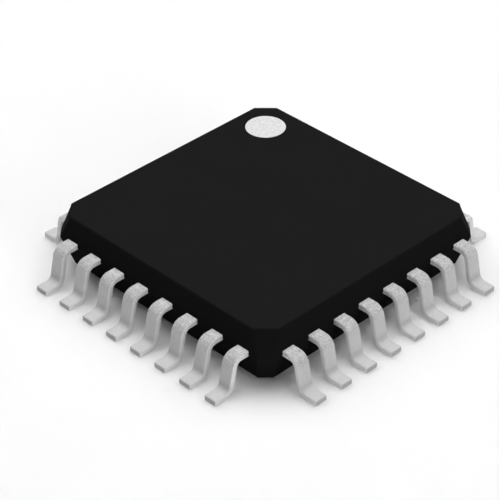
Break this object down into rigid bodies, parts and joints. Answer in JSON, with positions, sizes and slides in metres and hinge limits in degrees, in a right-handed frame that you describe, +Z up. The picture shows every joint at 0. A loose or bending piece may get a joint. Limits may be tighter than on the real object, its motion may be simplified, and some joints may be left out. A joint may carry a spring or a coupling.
{
  "type": "quad flat pack chip",
  "caption": "Surface-mount integrated circuit: square black moulded body with cut corners, gull-wing leads along all four sides and a pale dot beside pin 1.",
  "frame": {"origin": "centre of the seating plane: the plane of the feet's undersides, under the middle of the body", "axes": "+Z up, away from the board. X and Y lie along the body's sides. Pin 1 is on the -X side at its +Y end, and pins count anticlockwise seen from above."},
  "size_m": [0.009, 0.009, 0.0015],
  "materials": {
    "mould_compound": "matte",
    "marking_ink": "matte",
    "tin_plated_lead": "matte",
    "bare_lead_frame": "satin",
    "attach_adhesive": "satin",
    "silicon": "polished",
    "bond_gold": "gloss"
  },
  "bodies": {
    "root": {"mould_body": "mould_compound", "pin_1_mark": "marking_ink", "lead_01": "tin_plated_lead", "lead_02": "tin_plated_lead", "lead_03": "tin_plated_lead", "lead_04": "tin_plated_lead", "lead_05": "tin_plated_lead", "lead_06": "tin_plated_lead", "lead_07": "tin_plated_lead", "lead_08": "tin_plated_lead", "lead_09": "tin_plated_lead", "lead_10": "tin_plated_lead", "lead_11": "tin_plated_lead", "lead_12": "tin_plated_lead", "lead_13": "tin_plated_lead", "lead_14": "tin_plated_lead", "lead_15": "tin_plated_lead", "lead_16": "tin_plated_lead", "lead_17": "tin_plated_lead", "lead_18": "tin_plated_lead", "lead_19": "tin_plated_lead", "lead_20": "tin_plated_lead", "lead_21": "tin_plated_lead", "lead_22": "tin_plated_lead", "lead_23": "tin_plated_lead", "lead_24": "tin_plated_lead", "lead_25": "tin_plated_lead", "lead_26": "tin_plated_lead", "lead_27": "tin_plated_lead", "lead_28": "tin_plated_lead", "lead_29": "tin_plated_lead", "lead_30": "tin_plated_lead", "lead_31": "tin_plated_lead", "lead_32": "tin_plated_lead", "die_paddle": "bare_lead_frame", "die_attach": "attach_adhesive", "silicon_die": "silicon", "bond_wires_1": "bond_gold", "bond_wires_2": "bond_gold", "bond_wires_3": "bond_gold", "bond_wires_4": "bond_gold"}
  },
  "joints": []
}
